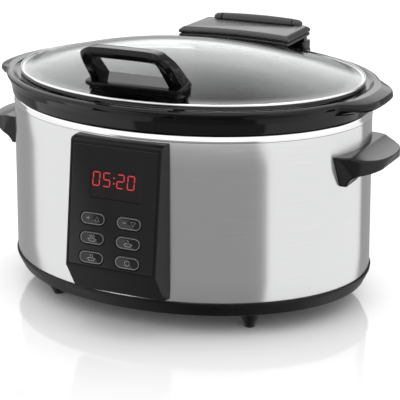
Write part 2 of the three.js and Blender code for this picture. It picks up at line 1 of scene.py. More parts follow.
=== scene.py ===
"""Oval slow cooker with a hinged glass lid: the looks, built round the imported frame.

Everything is in metres, in the frame's own axes: +Z up, +X along the oval, -Y towards the panel.
"""

import json
import math

import bmesh
import bpy
import numpy as np
from mathutils import Matrix, Vector


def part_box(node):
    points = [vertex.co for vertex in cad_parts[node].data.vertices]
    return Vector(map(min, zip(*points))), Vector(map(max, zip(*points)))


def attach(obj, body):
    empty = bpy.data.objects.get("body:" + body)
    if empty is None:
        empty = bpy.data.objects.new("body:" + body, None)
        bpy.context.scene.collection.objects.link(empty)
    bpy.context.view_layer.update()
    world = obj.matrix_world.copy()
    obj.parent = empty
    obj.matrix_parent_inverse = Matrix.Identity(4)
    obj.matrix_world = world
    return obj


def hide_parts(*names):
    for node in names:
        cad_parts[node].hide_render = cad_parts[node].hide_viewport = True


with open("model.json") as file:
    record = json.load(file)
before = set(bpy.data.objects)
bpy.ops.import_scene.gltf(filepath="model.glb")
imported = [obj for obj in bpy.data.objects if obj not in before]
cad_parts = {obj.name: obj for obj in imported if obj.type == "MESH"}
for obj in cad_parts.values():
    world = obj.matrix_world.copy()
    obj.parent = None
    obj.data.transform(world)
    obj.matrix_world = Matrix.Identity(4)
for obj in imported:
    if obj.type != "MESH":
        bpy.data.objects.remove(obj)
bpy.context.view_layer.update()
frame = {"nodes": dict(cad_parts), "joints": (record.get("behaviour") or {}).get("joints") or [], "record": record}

MM = 0.001
DEGREE = 180 / math.pi           # degrees in a radian
AROUND = 288                     # steps round every oval

# ---------------- sizes read from the frame

shell_low, shell_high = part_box("outer_shell")
_, handle_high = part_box("side_handle_right")
_, glass_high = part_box("lid_glass")
bezel_low, bezel_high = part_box("panel_bezel")
cover_low, cover_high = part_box("hinge_cover")
_, tower_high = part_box("hinge_tower")
pin_low, pin_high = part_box("hinge_pin")
lid_joint = next(j for j in frame["joints"] if j["name"] == "lid_open")
AXLE = Vector(lid_joint["pos_m"])

OVAL_DIFFERENCE = shell_high.x - shell_high.y
OVAL_BLEND = 0.14                # inside this long half axis the oval narrows to the centre
WALL_TAPER = 0.0012              # how much narrower the steel wall is at its top


def oval_depth(radius):
    """Short half axis of the oval whose long half axis is radius."""
    reach = min(1.0, radius / OVAL_BLEND)
    return radius - OVAL_DIFFERENCE * math.sin(reach * math.pi / 2)


# ---------------- mesh building

def add_object(name, data):
    obj = bpy.data.objects.new(name, data)
    bpy.context.scene.collection.objects.link(obj)
    return obj


def make_object(name, vertices, faces, body, sharp=32.0):
    """A smooth-shaded mesh object whose edges above the sharp angle stay crisp."""
    mesh = bpy.data.meshes.new(name)
    mesh.from_pydata([tuple(v) for v in vertices], [], faces)
    mesh.validate()
    obj = add_object(name, mesh)
    tidy_mesh(obj, sharp)
    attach(obj, body)
    return obj


def tidy_mesh(obj, sharp):
    """Welds double points, turns faces outward and marks which edges look sharp."""
    work = bmesh.new()
    work.from_mesh(obj.data)
    bmesh.ops.remove_doubles(work, verts=work.verts, dist=2e-6)
    bmesh.ops.dissolve_degenerate(work, edges=work.edges, dist=1e-6)
    bmesh.ops.recalc_face_normals(work, faces=work.faces)
    if work.calc_volume(signed=True) < 0:
        bmesh.ops.reverse_faces(work, faces=work.faces)
    work.to_mesh(obj.data)
    work.free()
    obj.data.shade_smooth()
    obj.data.set_sharp_from_angle(angle=math.radians(sharp))


def lattice(rows, columns, wrap_rows=False):
    """Quads of a grid of points, stored row by row; every row is a closed ring."""
    faces = []
    for r in range(rows if wrap_rows else rows - 1):
        for c in range(columns):
            r2, c2 = (r + 1) % rows, (c + 1) % columns
            faces.append((r * columns + c, r * columns + c2, r2 * columns + c2, r2 * columns + c))
    return faces


def fillet(points, radius, steps, closed=True):
    """Rounds the corners of a 2D outline. radius is one number, or one for each point."""
    count = len(points)
    radii = [radius] * count if np.isscalar(radius) else list(radius)
    rounded = []
    for i, (x, y) in enumerate(points):
        here = Vector((x, y))
        if (not closed and i in (0, count - 1)) or radii[i] <= 0:
            rounded.append((x, y))
            continue
        before = Vector(points[i - 1]) - here
        after = Vector(points[(i + 1) % count]) - here
        angle = before.angle(after)
        if angle > math.radians(177):
            rounded.append((x, y))
            continue
        reach = min(radii[i] / math.tan(angle / 2), before.length * 0.48, after.length * 0.48)
        start, end = here + before.normalized() * reach, here + after.normalized() * reach
        for step in range(steps + 1):
            t = step / steps
            point = start * (1 - t) ** 2 + here * 2 * t * (1 - t) + end * t ** 2
            rounded.append((point.x, point.y))
    return rounded


def turn_oval(name, profile, body, closed=True, around=AROUND, sharp=32.0):
    """Turns a profile of (long half axis, height) points round Z, squeezed to the oval."""
    vertices = []
    for radius, height in profile:
        depth = oval_depth(radius)
        for step in range(around):
            angle = 2 * math.pi * step / around
            vertices.append((radius * math.cos(angle), depth * math.sin(angle), height))
    faces = lattice(len(profile), around, wrap_rows=closed)
    return make_object(name, vertices, faces, body, sharp)


def turn_round(name, profile, body, place, axis="Z", closed=True, around=48, sharp=32.0):
    """Turns a profile of (radius, height) points round an axis through place."""
    vertices = []
    for radius, height in profile:
        for step in range(around):
            angle = 2 * math.pi * step / around
            u, v = radius * math.cos(angle), radius * math.sin(angle)
            point = (height, u, v) if axis == "X" else (u, v, height)
            vertices.append(Vector(point) + Vector(place))
    return make_object(name, vertices, lattice(len(profile), around, wrap_rows=closed), body, sharp)


def inset(outline, amount):
    """Moves every point of an anticlockwise 2D outline inward by amount."""
    count = len(outline)
    moved = []
    for i in range(count):
        before, here, after = (np.array(outline[j]) for j in (i - 1, i, (i + 1) % count))
        first, second = here - before, after - here
        first = first / max(np.linalg.norm(first), 1e-12)
        second = second / max(np.linalg.norm(second), 1e-12)
        normal = np.array([-(first[1] + second[1]), first[0] + second[0]])
        size = max(np.linalg.norm(normal), 1e-9)
        lengthen = 2 / max(size, 1.2)
        moved.append(tuple(here + normal / size * amount * lengthen))
    return moved


def capped(rows, count):
    """Quads of a grid, closed at both ends."""
    return lattice(rows, count) + [tuple(range(count))[::-1], tuple(range((rows - 1) * count, rows * count))]


def slab(name, outline, levels, body, place=None, sharp=32.0, radii=None):
    """A closed body of stacked copies of an outline: levels are (inset, height) pairs, upward.

    With radii, each level's corners are rounded after it is moved inward."""
    vertices = []
    for amount, height in levels:
        ring = inset(outline, amount)
        ring = fillet(ring, radii, 6) if radii else ring
        vertices += [Vector((x, y, height)) for x, y in ring]
    vertices = [place(v) for v in vertices] if place else vertices
    return make_object(name, vertices, capped(len(levels), len(ring)), body, sharp)


def rounded_rectangle(width, depth, radius, centre=(0, 0), steps=8):
    """Anticlockwise outline of a rectangle with round corners."""
    points = []
    for corner, (sx, sy) in enumerate([(1, -1), (1, 1), (-1, 1), (-1, -1)]):
        for step in range(steps + 1):
            angle = math.pi / 2 * (corner - 1 + step / steps)
            points.append((centre[0] + sx * (width / 2 - radius) + radius * math.cos(angle),
                           centre[1] + sy * (depth / 2 - radius) + radius * math.sin(angle)))
    return points


def apply_modifiers(obj, sharp):
    bpy.context.view_layer.update()
    graph = bpy.context.evaluated_depsgraph_get()
    obj.data = bpy.data.meshes.new_from_object(obj.evaluated_get(graph))
    obj.modifiers.clear()
    tidy_mesh(obj, sharp)


def combine(obj, other, operation="UNION", sharp=32.0):
    """Joins, cuts or intersects obj with other, which is used up."""
    modifier = obj.modifiers.new("combine", "BOOLEAN")
    modifier.operation = operation
    modifier.solver = "EXACT"
    modifier.object = other
    apply_modifiers(obj, sharp)
    bpy.data.objects.remove(other)
    return obj


def cut(obj, other, sharp=32.0):
    return combine(obj, other, "DIFFERENCE", sharp)


# ---------------- materials

NOISE_REACH = (0.3, 0.7)         # nearly all of a noise texture's values lie between these


def math_node(tree, operation, first, second=None):
    """The result of a Math node on a socket and, if given, a second socket or a number."""
    node = tree.nodes.new("ShaderNodeMath")
    node.operation = operation
    tree.links.new(first, node.inputs[0])
    if isinstance(second, float):
        node.inputs[1].default_value = second
    elif second is not None:
        tree.links.new(second, node.inputs[1])
    return node.outputs[0]


def map_range(tree, value, low, high, to_low=0.0, to_high=1.0, kind="LINEAR"):
    """Maps low..high to to_low..to_high, without going past either."""
    node = tree.nodes.new("ShaderNodeMapRange")
    node.interpolation_type = kind
    for name, number in zip(("From Min", "From Max", "To Min", "To Max"), (low, high, to_low, to_high)):
        node.inputs[name].default_value = number
    tree.links.new(value, node.inputs["Value"])
    return node.outputs["Result"]


class Look:
    """A procedural material under construction: one Principled shader and small helpers."""

    def __init__(self, name, color, roughness, metallic=0.0, **settings):
        self.material = bpy.data.materials.new(name)
        self.material.use_nodes = True
        self.tree = self.material.node_tree
        self.shader = self.tree.nodes["Principled BSDF"]
        self.shader.inputs["Base Color"].default_value = (*color, 1)
        self.shader.inputs["Roughness"].default_value = roughness
        self.shader.inputs["Metallic"].default_value = metallic
        for key, value in settings.items():
            self.shader.inputs[key.replace("_", " ")].default_value = value
        self.height = None

    def node(self, kind, **values):
        made = self.tree.nodes.new(kind)
        for key, value in values.items():
            setattr(made, key, value)
        return made

    def link(self, source, target):
        self.tree.links.new(source, target)

    def place(self, stretch=(1, 1, 1)):
        """Object coordinates, in metres, multiplied along each axis."""
        where = self.node("ShaderNodeTexCoord")
        mapping = self.node("ShaderNodeMapping")
        mapping.inputs["Scale"].default_value = stretch
        self.link(where.outputs["Object"], mapping.inputs["Vector"])
        return mapping.outputs["Vector"]

    def around(self, stretch_round, stretch_up):
        """Coordinates that run round the body and up it, for a grain that follows the wall."""
        where = self.node("ShaderNodeTexCoord")
        parts = self.node("ShaderNodeSeparateXYZ")
        self.link(where.outputs["Object"], parts.inputs["Vector"])
        angle = math_node(self.tree, "ARCTAN2", parts.outputs["Y"], parts.outputs["X"])
        joined = self.node("ShaderNodeCombineXYZ")
        self.link(math_node(self.tree, "MULTIPLY", angle, stretch_round), joined.inputs["X"])
        self.link(math_node(self.tree, "MULTIPLY", parts.outputs["Z"], stretch_up), joined.inputs["Z"])
        return joined.outputs["Vector"]

    def noise(self, coordinates, scale, detail=3.0, roughness=0.55):
        texture = self.node("ShaderNodeTexNoise")
        texture.inputs["Scale"].default_value = scale
        texture.inputs["Detail"].default_value = detail
        texture.inputs["Roughness"].default_value = roughness
        self.link(coordinates, texture.inputs["Vector"])
        return texture.outputs["Fac"]

    def vary_roughness(self, value, low, high):
        spread = map_range(self.tree, value, *NOISE_REACH, low, high)
        self.link(spread, self.shader.inputs["Roughness"])

    def vary_color(self, value, first, second):
        ramp = self.node("ShaderNodeValToRGB")
        for element, place, color in zip(ramp.color_ramp.elements, NOISE_REACH, (first, second)):
            element.position, element.color = place, (*color, 1)
        self.link(value, ramp.inputs["Fac"])
        self.link(ramp.outputs["Color"], self.shader.inputs["Base Color"])

    def bump(self, value, distance, strength):
        """Adds relief; a second call adds to the first."""
        relief = self.node("ShaderNodeBump")
        relief.inputs["Distance"].default_value = distance
        relief.inputs["Strength"].default_value = strength
        self.link(value, relief.inputs["Height"])
        if self.height is not None:
            self.link(self.height, relief.inputs["Normal"])
        self.height = relief.outputs["Normal"]
        self.link(self.height, self.shader.inputs["Normal"])


def brushed_steel_look(name, color, roughness):
    """Steel brushed round the body: fine streaks, and gloss that spreads up and down."""
    look = Look(name, color, roughness, 1.0, Anisotropic=0.93, Anisotropic_Rotation=0.25)
    tangent = look.node("ShaderNodeTangent", direction_type="RADIAL", axis="Z")
    look.link(tangent.outputs["Tangent"], look.shader.inputs["Tangent"])
    streaks = look.noise(look.around(3.0, 5200.0), 1.0, 4.0, 0.6)
    look.vary_roughness(streaks, roughness - 0.03, roughness + 0.04)
    light, dark = [c * 1.04 for c in color], [c * 0.95 for c in color]
    look.vary_color(streaks, dark, light)
    look.bump(streaks, 0.00002, 0.3)
    return look.material


def polished_steel_look(name, color, roughness):
    look = Look(name, color, roughness, 1.0)
    smears = look.noise(look.place(), 45.0, 4.0)
    look.vary_roughness(smears, roughness * 0.7, roughness * 1.6)
    look.bump(look.noise(look.place(), 14.0, 2.0), 0.0002, 0.08)
    return look.material


def moulded_look(name, color, roughness, grain=0.00003, grain_scale=1600.0, **settings):
    """Moulded plastic: a fine eroded grain with patches of slightly different sheen."""
    look = Look(name, color, roughness, **settings)
    pores = look.noise(look.place(), grain_scale, 2.0)
    patches = look.noise(look.place(), 28.0, 4.0)
    look.vary_roughness(patches, roughness * 0.88, roughness * 1.15)
    look.vary_color(patches, [c * 0.85 for c in color], [c * 1.2 for c in color])
    look.bump(pores, grain, 0.35)
    return look.material


def glossy_look(name, color, roughness, **settings):
    """Polished black plastic: clear gloss with a slow waviness and faint wiping marks."""
    look = Look(name, color, roughness, **settings)
    marks = look.noise(look.place(), 60.0, 5.0, 0.6)
    look.vary_roughness(marks, roughness * 0.7, roughness * 1.6)
    look.vary_color(marks, [c * 0.8 for c in color], [c * 1.25 for c in color])
    look.bump(look.noise(look.place(), 24.0, 1.0), 0.0002, 0.04)
    return look.material


def glaze_look(name):
    """Black kiln glaze over stoneware: deep gloss, slow ripples and a few tiny pits."""
    look = Look(name, (0.002, 0.002, 0.002), 0.05, IOR=1.38)
    ripples = look.noise(look.place(), 22.0, 2.0)
    look.vary_roughness(look.noise(look.place(), 90.0, 4.0), 0.03, 0.07)
    look.vary_color(look.noise(look.place(), 9.0, 5.0), (0.0014, 0.0014, 0.0014), (0.0032, 0.0030, 0.0030))
    pits = look.node("ShaderNodeTexVoronoi", feature="F1")
    pits.inputs["Scale"].default_value = 45.0
    look.link(look.place(), pits.inputs["Vector"])
    look.bump(ripples, 0.0004, 0.10)
    look.bump(map_range(look.tree, pits.outputs["Distance"], 0.0, 0.02), 0.00005, 0.25)
    return look.material


def glass_look(name):
    look = Look(name, (0.93, 0.955, 0.95), 0.0, IOR=1.5)
    look.shader.inputs["Transmission Weight"].default_value = 1.0
    look.vary_roughness(look.noise(look.place(), 40.0, 5.0), 0.0, 0.02)
    look.bump(look.noise(look.place(), 10.0, 1.0), 0.0003, 0.05)
    return look.material


def glow_look(name, color, strength):
    look = Look(name, (0.05, 0.003, 0.003), 0.35)
    look.shader.inputs["Emission Color"].default_value = (*color, 1)
    look.shader.inputs["Emission Strength"].default_value = strength
    look.vary_roughness(look.noise(look.place(), 500.0), 0.3, 0.45)
    return look.material


def fibre_look(name, color, weave):
    look = Look(name, color, 0.9)
    fibres = look.noise(look.place((1, 1, 3)), weave, 6.0, 0.7)
    look.vary_color(fibres, [c * 0.7 for c in color], [min(1, c * 1.15) for c in color])
    look.bump(fibres, 0.0008, 0.6)
    return look.material


LOOKS = {
    "brushed_steel": brushed_steel_look("brushed_steel", (0.67, 0.672, 0.675), 0.19),
    "well_steel": brushed_steel_look("well_steel", (0.5, 0.5, 0.5), 0.38),
    "bracket_steel": polished_steel_look("bracket_steel", (0.5, 0.5, 0.49), 0.4),
    "polished_steel": polished_steel_look("polished_steel", (0.8, 0.8, 0.8), 0.10),
    "fastener_steel": polished_steel_look("fastener_steel", (0.10, 0.10, 0.105), 0.34),
    "black_plastic": moulded_look("black_plastic", (0.0042, 0.0042, 0.0044), 0.30, IOR=1.28),
    "handle_plastic": moulded_look("handle_plastic", (0.0045, 0.0045, 0.0047), 0.22, IOR=1.36),
    "handle_gloss": glossy_look("handle_gloss", (0.0020, 0.0020, 0.0021), 0.10, IOR=1.30),
    "hinge_plastic": moulded_look("hinge_plastic", (0.0075, 0.0075, 0.0077), 0.26, IOR=1.56),
    "panel_gloss": glossy_look("panel_gloss", (0.0042, 0.0042, 0.0047), 0.03),
    "key_gloss": glossy_look("key_gloss", (0.0044, 0.0044, 0.0049), 0.035),
    "smoked_lens": glossy_look("smoked_lens", (0.0062, 0.0040, 0.0042), 0.03),
    "display_red": glow_look("display_red", (0.62, 0.022, 0.030), 1.0),
    "circuit_board": moulded_look("circuit_board", (0.03, 0.16, 0.06), 0.45),
    "pad_rubber": moulded_look("pad_rubber", (0.012, 0.012, 0.012), 0.8, 0.00006, 900.0),
    "heater_mica": fibre_look("heater_mica", (0.33, 0.27, 0.18), 240.0),
    "glass_wool": fibre_look("glass_wool", (0.72, 0.69, 0.6), 420.0),
    "sensor_ceramic": moulded_look("sensor_ceramic", (0.78, 0.76, 0.7), 0.5),
    "black_glaze": glaze_look("black_glaze"),
    "clear_glass": glass_look("clear_glass"),
}
PRINT = moulded_look("panel_print", (0.30, 0.30, 0.31), 0.45)


def finish_piece(obj, slot, replaced=(), look=None):
    """Gives a piece the look of its slot, or the look passed instead, and hides the frame nodes that it stands
    for.
    """
    obj.data.materials.clear()
    obj.data.materials.append(look or LOOKS[slot])
    if replaced:
        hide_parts(*replaced)


for entry in frame["record"]["subparts"]:
    node = frame["nodes"][entry["node"]]
    node.data.materials.clear()
    node.data.materials.append(LOOKS[entry["material_slot"]])


# ---------------- shared shapes

def mm(points):
    """Points given in millimetres, as metres."""
    return [tuple(value * MM for value in point) for point in points]


# Where a slab's (across, along, height) lands when its height runs along this axis.
SWAPS = {"X": lambda p: Vector((p.z, p.x, p.y)), "Y": lambda p: Vector((p.x, p.z, p.y)), "Z": None}


def prism(outline, low, high, axis, body="housing", name="cutter"):
    """A plain closed prism, to cut or join; outline is in the two axes other than axis."""
    return slab(name, outline, [(0, low), (0, high)], body, SWAPS[axis])


def wall_radius(height):
    """Long half axis of the steel wall's outside at a height."""
    share = (height - shell_low.z) / (shell_high.z - shell_low.z)
    return shell_high.x - WALL_TAPER * share


def wall_cutter():
    """All that lies within GAP of the wall, from the floor to above the cooker."""
    low, high = 0.0, 0.26
    profile = [(0, low), (wall_radius(low) + GAP, low), (wall_radius(high) + GAP, high), (0, high)]
    return turn_oval("cutter", profile, "housing", closed=False)


GLASS_EDGE = 0.1575              # where the dome starts, as a long half axis
GLASS_FLAT = 0.2042              # height of the glass's flat outer band
DOME_RISE = glass_high.z - GLASS_FLAT
GLASS_THICK = 0.004
GAP = 0.0003                     # between pieces that touch
DEEP = 0.04                      # far enough below the glass to cut all that would stand in it


def dome_height(radius):
    return GLASS_FLAT + DOME_RISE * max(0.0, 1 - (radius / GLASS_EDGE) ** 2)


def dome_layer(name, below, above, reach, around=AROUND):
    """The closed space between two offsets of the dome, out to a long half axis."""
    radii = [min(reach, GLASS_EDGE) * (i / 18) for i in range(19)]
    if reach > GLASS_EDGE:
        radii.append(reach)
    lower = [(r, dome_height(r) + below) for r in radii]
    upper = [(r, dome_height(r) + above) for r in reversed(radii)]
    return turn_oval(name, lower + upper, "lid", closed=False, around=around)


# ---------------- housing

def build_wall():
    top, bottom, sheet = shell_high.z, shell_low.z, 0.0012
    levels = [bottom + (top - bottom) * i / 6 for i in range(7)]
    outside = [(wall_radius(z), z) for z in levels]
    inside = [(r - sheet, z) for r, z in reversed(outside)]
    wall = turn_oval("steel_wall", fillet(outside + inside, 0.0003, 2), "housing")
    finish_piece(wall, "brushed_steel", ["outer_shell"])


def build_shoulder():
    profile = mm([(169.2, 173.3), (168.9, 175.0), (167.8, 178.4), (165.5, 180.9), (162.6, 182.2),
                  (162.6, 181.0), (164.6, 180.2), (166.2, 179.0), (167.4, 177.4), (167.9, 176.0),
                  (168, 173.3)])
    radii = [0.0003, 0.003, 0.004, 0.004] + [0.0003] * 7
    band = turn_oval("polished_shoulder", fillet(profile, radii, 5), "housing", sharp=50)
    finish_piece(band, "polished_steel", ["shoulder_ring"])


def build_tray():
    profile = mm([(0, 17.5), (164.4, 17.5), (165.8, 18.4), (170.8, 28.6), (171.2, 31.0), (170.4, 31.0),
                  (170.3, 29.7), (168.3, 29.7),
                  (168.3, 38), (165.8, 38), (165.8, 28), (163.2, 20.3), (0, 20.3)])
    pan = turn_oval("base_pan", fillet(profile, 0.0006, 4, closed=False), "housing", closed=False)
    for row in range(-2, 3):
        for side in (-1, 1):
            hole = rounded_rectangle(0.036, 0.004, 0.0019, (side * 0.058, row * 0.011), 5)
            cut(pan, prism(hole, 0.010, 0.025, "Z"))
    finish_piece(pan, "black_plastic", ["base_tray"])


def build_feet():
    for corner in ("front_left", "front_right", "rear_left", "rear_right"):
        low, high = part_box(f"foot_{corner}")
        place = ((low.x + high.x) / 2, (low.y + high.y) / 2, 0)
        cone = mm([(2.3, 17.2), (12.4, 17.2), (12.4, 14.4), (5.8, 3.2), (5.3, 1.8), (4.9, 1.8), (4.9, 8),
                   (2.3, 8)])
        foot = turn_round(f"tapered_foot_{corner}", fillet(cone, 0.0009, 4), "housing", place)
        finish_piece(foot, "black_plastic", [f"foot_{corner}"])
        pad_profile = mm([(0, 0), (2.6, 0), (2.9, 0.5), (3.3, 0.5), (3.6, 0), (4.6, 0), (4.6, 5), (0, 5)])
        pad = turn_round(f"rubber_pad_{corner}", fillet(pad_profile, 0.0003, 3, closed=False), "housing",
                         place, closed=False)
        finish_piece(pad, "pad_rubber", [f"foot_pad_{corner}"])


def build_well():
    profile = mm([(0, 38.8), (147, 38.8), (151.2, 43), (161.4, 172), (161.4, 175.8), (167.3, 175.8),
                  (167.3, 177), (160.2, 177), (160.2, 172), (150, 44.2), (146.4, 40), (0, 40)])
    radii = [0, 0.0005, 0.003, 0.004, 0.0005, 0.0004, 0.0004, 0.001, 0.004, 0.004, 0.003, 0]
    well = turn_oval("steel_well", fillet(profile, radii, 6, closed=False), "housing", closed=False)
    finish_piece(well, "well_steel", ["heating_well"])


HANDLE_ROOT = 0.150              # inside the wall, where a handle's outline starts
HANDLE_HALF = 0.050
HANDLE_BLUNTNESS = 2.4           # 2 would be an ellipse


def curve(start, control, end):
    """Points on a quadratic curve."""
    shares = [i / 8 for i in range(9)]
    return [tuple(a * (1 - t) ** 2 + c * 2 * t * (1 - t) + b * t ** 2
                  for a, c, b in zip(start, control, end)) for t in shares]


def handle_surface(side):
    """A side handle, pointing right: hollowed top, arched underside and a blunt rounded tip."""
    plan = []
    for step in range(61):
        share = math.sin(math.pi * (step / 60 - 0.5))
        reach = math.sqrt(max(0.0, 1 - abs(share) ** HANDLE_BLUNTNESS))
        plan.append((HANDLE_ROOT + (handle_high.x - HANDLE_ROOT) * reach, HANDLE_HALF * share))
    profile = mm([(150, 125), *curve((168, 125), (170.5, 134.5), (181, 136.4)),
                  *curve((181, 136.4), (189, 137.3), (194, 139.6))[1:],
                  *curve((197.8, 149), (184, 148.4), (172, 152.6)), (150, 152.6)])
    front = mm([(-40, 124), (40, 124), (48.7, 153.5), (-48.7, 153.5)])
    solid = prism(plan, 0.120, 0.156, "Z", name="side_grip_" + side)
    combine(solid, prism(profile, -0.06, 0.06, "Y"), "INTERSECT")
    return combine(solid, prism(front, 0.145, 0.205, "X"), "INTERSECT")


def remesh(obj, voxel, smoothing):
    """Turns a boolean result into one even skin with softly rounded edges."""
    skin = obj.modifiers.new("skin", "REMESH")
    skin.mode = "VOXEL"
    skin.voxel_size = voxel
    smooth = obj.modifiers.new("smooth", "SMOOTH")
    smooth.factor = 0.5
    smooth.iterations = smoothing
    apply_modifiers(obj, 75.0)


def build_side_handles():
    for side, sign in (("right", 1), ("left", -1)):
        grip = handle_surface(side)
        if sign < 0:
            grip.data.transform(Matrix.Rotation(math.pi, 4, "Z"))
        remesh(grip, 0.0008, 5)
        cut(grip, wall_cutter(), 60)
        finish_piece(grip, "handle_plastic", [f"side_handle_{side}"])


# ---------------- control panel

PANEL_FOOT = Vector((0, bezel_low.y, 0.0606))
PANEL_HEAD = Vector((0, -0.1449, 0.1695))
PANEL_MIDDLE = (PANEL_FOOT + PANEL_HEAD) / 2
PANEL_LENGTH = (PANEL_HEAD - PANEL_FOOT).length
PANEL_UP = (PANEL_HEAD - PANEL_FOOT).normalized()
PANEL_OUT = Vector((0, -PANEL_UP.z, PANEL_UP.y))
BEZEL_SIDE = 0.0023              # thickness of the frame's side walls
FACE_HALF = bezel_high.x - BEZEL_SIDE


def on_panel(point):
    """Places (across, up the face, out of the face) in the frame."""
    return PANEL_MIDDLE + Vector((point.x, 0, 0)) + PANEL_UP * point.y + PANEL_OUT * point.z


KEY_COLUMNS = {"left": -0.0186, "right": 0.0160}
KEYS = {"timer_up": ("left", -0.011), "timer_down": ("right", -0.011), "high_heat": ("left", -0.028),
        "low_heat": ("right", -0.028), "keep_warm": ("left", -0.045), "power": ("right", -0.045)}
KEY_SIZE = (0.0244, 0.0116)
WINDOW_CENTRE = (0.0016, 0.0196)
WINDOW_SIZE = (0.0484, 0.0246)


def panel_cutter(outline, low=-0.01, high=0.01):
    """A prism square to the panel, between two distances out of its face."""
    return slab("cutter", outline, [(0, low), (0, high)], "housing", on_panel)


def stadium(width, height, centre, steps=10):
    """Outline of a rectangle with half-round ends."""
    return rounded_rectangle(width, height, height / 2 - 1e-5, centre, steps)


def build_bezel():
    profile = mm([(-120, 31.5), (-143, 35.5), (-156.6, 57.6), (-158.7, 60.6), (-144.9, 169.5),
                  (-143.4, 171.3), (-138, 172.2), (-120, 172.2)])[::-1]
    radii = [0, 0.0015, 0.0012, 0.0008, 0.0008, 0.001, 0.001, 0]
    half = bezel_high.x
    levels = [(0.0009, -half), (0.0004, -half + 0.0001), (0.0001, -half + 0.0004), (0, -half + 0.0009)]
    levels += [(amount, -x) for amount, x in reversed(levels)]
    bezel = slab("panel_frame", fillet(profile, radii, 5), levels, "housing", SWAPS["X"])
    cut(bezel, wall_cutter())
    hollow = mm([(-110, 35), (-142, 39), (-153.5, 59.5), (-155.4, 62.5), (-142.2, 166.6), (-110, 167)])[::-1]
    cut(bezel, prism(hollow, BEZEL_SIDE - half, half - BEZEL_SIDE, "X"))
    opening = rounded_rectangle(FACE_HALF * 2, PANEL_LENGTH - 0.0046, 0.002, steps=5)
    cut(bezel, panel_cutter(opening, -0.0018, 0.006))
    through = rounded_rectangle(FACE_HALF * 2 - 0.008, PANEL_LENGTH - 0.0098, 0.002, (0, -0.0014), 4)
    cut(bezel, panel_cutter(through, -0.009, 0.006), 20)
    finish_piece(bezel, "black_plastic", ["panel_bezel"])


def build_panel_face():
    plate_half = PANEL_LENGTH / 2 - 0.0026
    outline = rounded_rectangle(FACE_HALF * 2 - 0.0006, plate_half * 2, 0.0018, steps=5)
    levels = [(0, -0.0015), (0, -0.0004), (0.0001, -0.00012), (0.0004, 0)]
    plate = slab("panel_front", outline, levels, "housing", on_panel)
    for column, height in KEYS.values():
        hole = stadium(KEY_SIZE[0] + 0.0008, KEY_SIZE[1] + 0.0008, (KEY_COLUMNS[column], height))
        cut(plate, panel_cutter(hole), 12)
    hole = rounded_rectangle(*WINDOW_SIZE, 0.0015, WINDOW_CENTRE, 5)
    cut(plate, panel_cutter(hole), 12)
    finish_piece(plate, "panel_gloss", ["panel_face"])
    outline = rounded_rectangle(WINDOW_SIZE[0] - 0.0006, WINDOW_SIZE[1] - 0.0006, 0.0012, WINDOW_CENTRE, 5)
    levels = [(0, -0.0016), (0, -0.0002), (0.0002, 0)]
    lens = slab("display_lens", outline, levels, "housing", on_panel, 12)
    finish_piece(lens, "smoked_lens", ["display_window"])


class Print:
    """Thin raised marks gathered into one mesh: strips along paths, and filled outlines."""

    THICK = 0.00006

    def __init__(self, name, body, slot, look, lift):
        self.name, self.body, self.slot, self.look, self.lift = name, body, slot, look, lift
        self.vertices, self.faces = [], []

    def strip(self, path, width, closed=False):
        """A flat strip of this width along a path of (across, up) points."""
        first = len(self.vertices)
        count = len(path)
        for i, here in enumerate(path):
            before = path[i - 1] if closed or i else path[i]
            after = path[(i + 1) % count] if closed or i < count - 1 else path[i]
            along = Vector((after[0] - before[0], after[1] - before[1])).normalized()
            side = Vector((-along.y, along.x)) * width / 2
            for sign, height in ((1, 0), (-1, 0), (-1, self.THICK), (1, self.THICK)):
                self.vertices.append(Vector((here[0] + sign * side.x, here[1] + sign * side.y,
                                             self.lift + height)))
        self.faces += [tuple(first + i for i in face) for face in lattice(count, 4, wrap_rows=closed)]
        if not closed:
            last = first + (count - 1) * 4
            self.faces += [(first + 3, first + 2, first + 1, first), (last, last + 1, last + 2, last + 3)]

    def fill(self, outline):
        """A filled outline of (across, up) points."""
        first, count = len(self.vertices), len(outline)
        for height in (0, self.THICK):
            self.vertices += [Vector((x, y, self.lift + height)) for x, y in outline]
        self.faces += [tuple(first + i for i in face) for face in lattice(2, count)]
        self.faces += [tuple(range(first, first + count))[::-1]]
        self.faces += [tuple(range(first + count, first + 2 * count))]

    def build(self):
        obj = make_object(self.name, [on_panel(v) for v in self.vertices], self.faces, self.body)
        finish_piece(obj, self.slot, look=self.look)


def arc(centre, radius, start, end, steps):
    """Points on an arc; angles are in degrees, anticlockwise from the right."""
    angles = [math.radians(start + (end - start) * i / steps) for i in range(steps + 1)]
    return [(centre[0] + radius * math.cos(a), centre[1] + radius * math.sin(a)) for a in angles]


